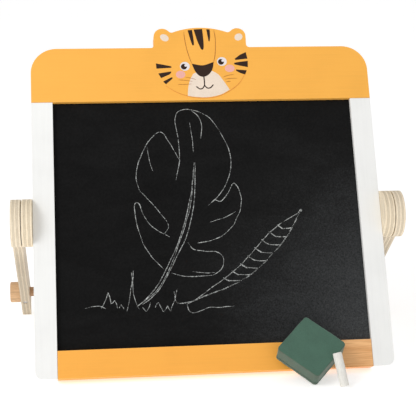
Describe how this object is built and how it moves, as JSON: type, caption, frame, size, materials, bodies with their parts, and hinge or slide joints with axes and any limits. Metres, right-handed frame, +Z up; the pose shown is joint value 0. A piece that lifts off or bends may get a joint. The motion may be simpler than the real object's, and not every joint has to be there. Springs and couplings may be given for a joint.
{
  "type": "tabletop easel",
  "caption": "Child's tabletop easel: a framed chalkboard with an animal-head top rail, leaning on two pivoting plywood legs joined by a cross rod, with an eraser and a stick of chalk.",
  "frame": {"origin": "on the table under the centre of the whole set's footprint", "axes": "+X to the board's right seen from the front, the board faces -Y, +Z up"},
  "size_m": [0.4754, 0.3212, 0.3709],
  "materials": {
    "orange_paint": "satin lacquer",
    "white_paint": "satin lacquer",
    "chalkboard": "matte chalkboard paint",
    "wipe_surface": "gloss dry-wipe sheet",
    "plywood": "bare plywood",
    "beech": "bare beech",
    "nylon": "matte",
    "brass": "turned",
    "steel": "zinc plated",
    "green_foam": "matte foam",
    "green_felt": "pressed felt",
    "chalk": "dusty"
  },
  "bodies": {
    "board": {"top_rail": "orange_paint", "bottom_rail": "orange_paint", "left_rail": "white_paint", "right_rail": "white_paint", "chalkboard_panel": "chalkboard", "whiteboard_panel": "wipe_surface", "dowel_top_left": "beech", "dowel_top_right": "beech", "dowel_bottom_left_1": "beech", "dowel_bottom_left_2": "beech", "dowel_bottom_right_1": "beech", "dowel_bottom_right_2": "beech", "spacer_disc_left": "plywood", "spacer_disc_right": "plywood", "friction_washer_left": "nylon", "friction_washer_right": "nylon", "threaded_insert_left": "brass", "threaded_insert_right": "brass", "pivot_bolt_left": "steel", "pivot_bolt_right": "steel", "head_washer_left": "steel", "head_washer_right": "steel"},
    "leg_frame": {"leg_left": "plywood", "leg_right": "plywood", "cross_rod": "beech", "rod_knob_left": "beech", "rod_knob_right": "beech", "rod_screw_left": "steel", "rod_screw_right": "steel"},
    "eraser": {"eraser_block": "green_foam", "eraser_felt": "green_felt"},
    "chalk": {"chalk_stick": "chalk"}
  },
  "joints": [
    {"name": "legs_hinge", "type": "hinge", "parent": "board", "child": "leg_frame", "pos_m": [0, -0.02224, 0.16073], "axis": [1, 0, 0], "range_deg": [-77, 97]},
    {"name": "eraser_lift", "type": "slide", "parent": "board", "child": "eraser", "axis": [0, 0, 1], "range_m": [0, 0.15]},
    {"name": "chalk_lift", "type": "slide", "parent": "board", "child": "chalk", "axis": [0, -0.5, 0.866], "range_m": [0, 0.12]}
  ]
}
